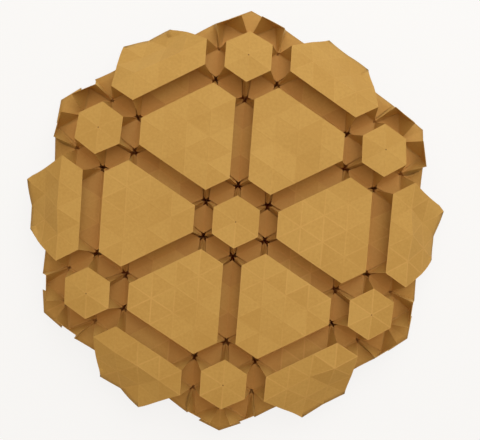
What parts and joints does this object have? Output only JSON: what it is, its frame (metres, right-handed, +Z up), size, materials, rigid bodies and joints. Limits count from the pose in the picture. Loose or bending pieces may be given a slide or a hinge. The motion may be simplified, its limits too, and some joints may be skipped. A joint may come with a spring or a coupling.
{
  "type": "origami tessellation",
  "caption": "Hexagonal sheet of kraft paper folded without cuts into raised hexagons and blunt triangles with sunken channels and star-shaped puckers between them.",
  "frame": {"origin": "centre of the bounding box's bottom, on the surface that the spike tips stand on", "axes": "+Z up through the raised tiles, the shortest extent; +Y along the longest extent, through two opposite corners of the sheet"},
  "size_m": [0.2044, 0.2122, 0.0291],
  "materials": {
    "kraft_paper": "uncoated kraft paper, matt, with lighter worn crease lines"
  },
  "bodies": {
    "root": {"folded_sheet": "kraft_paper"}
  },
  "joints": []
}
